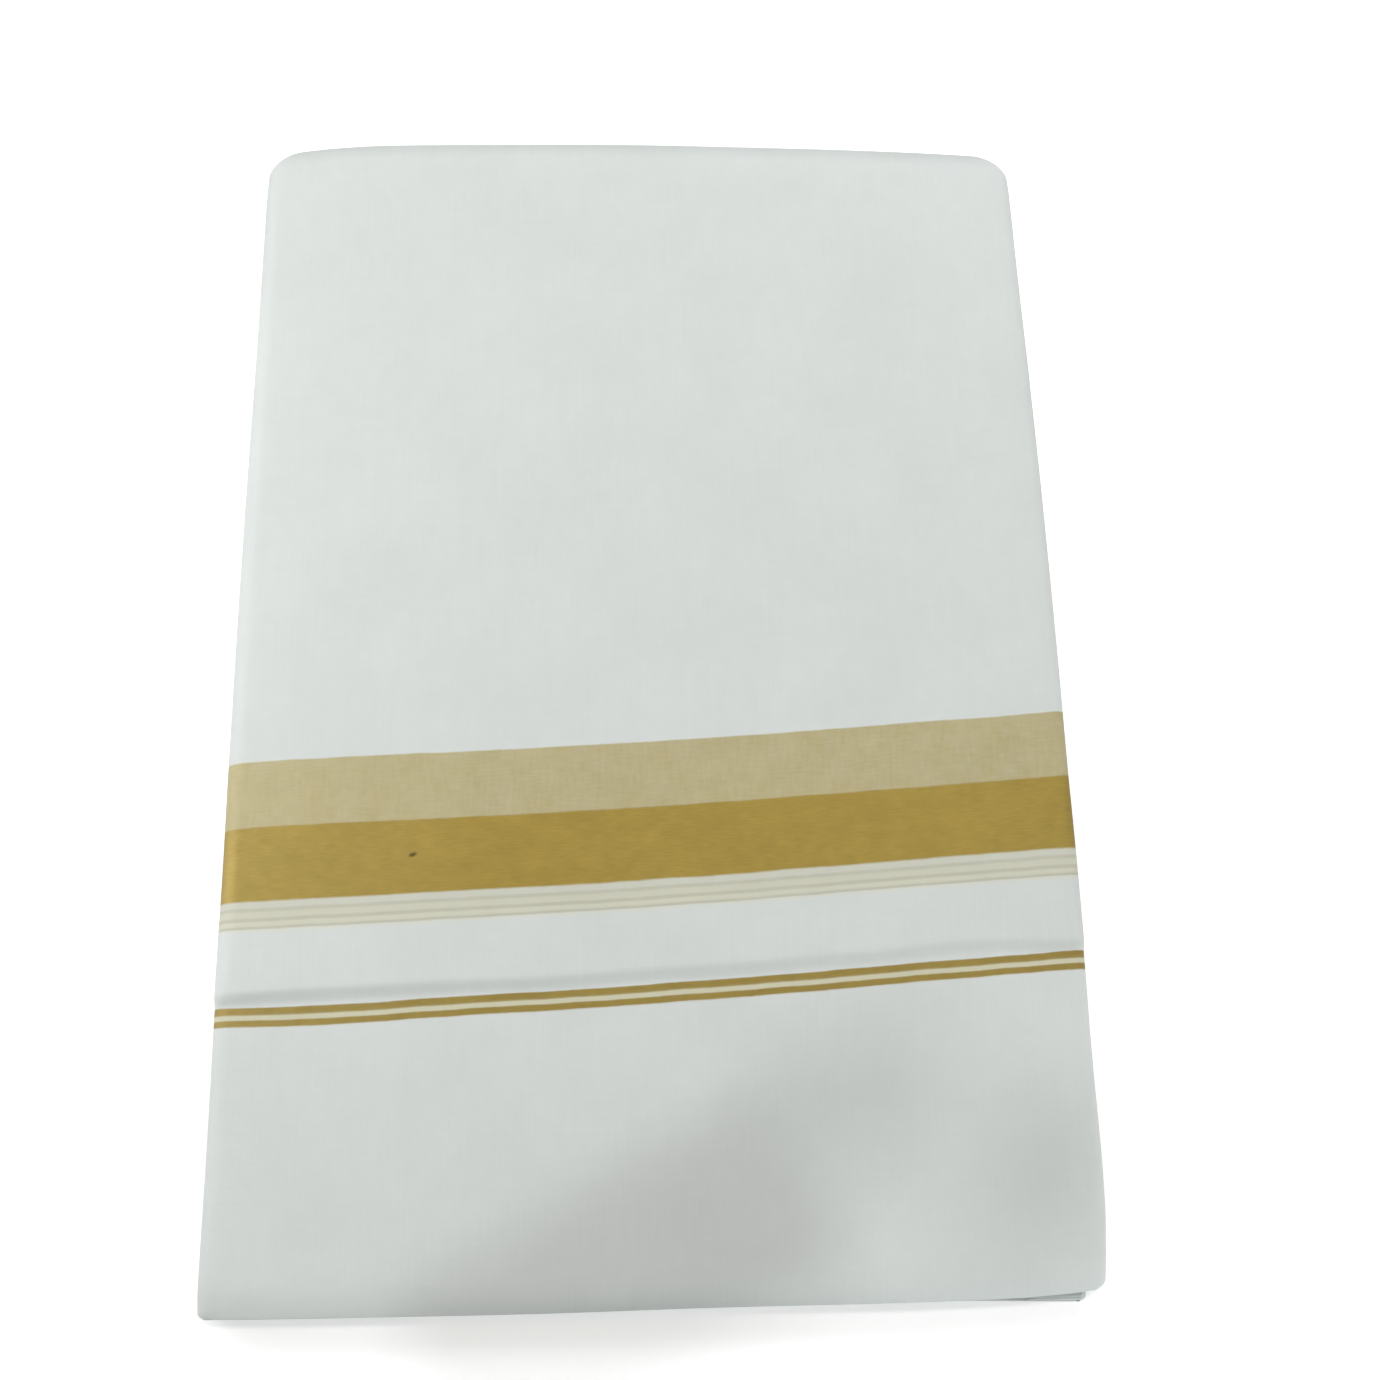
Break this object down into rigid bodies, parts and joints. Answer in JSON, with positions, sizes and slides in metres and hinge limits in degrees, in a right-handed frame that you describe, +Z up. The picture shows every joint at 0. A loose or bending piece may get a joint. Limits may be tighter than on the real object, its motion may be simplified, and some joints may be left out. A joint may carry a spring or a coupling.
{
  "type": "folded dhoti cloth",
  "caption": "White cotton dhoti with woven gold bands, folded into a flat rounded packet: one smooth fold down the left side, stacked folds on the right and layered ends.",
  "frame": {"origin": "middle of the packet's underside, on the surface that it rests on", "axes": "+Y along the packet, away from the end nearest the woven bands; +X to the right, away from the big fold; +Z up"},
  "size_m": [0.2532, 0.3702, 0.014],
  "materials": {
    "cotton_with_bands": "fine plain-woven white cotton with a matte gold and cream band near one end",
    "cotton_folds": "the same cotton, seen as a stack of soft folded edges"
  },
  "bodies": {
    "root": {"front_stretch": "cotton_with_bands", "left_fold": "cotton_with_bands", "back_stretch": "cotton_with_bands", "inner_folds": "cotton_folds"}
  },
  "joints": []
}
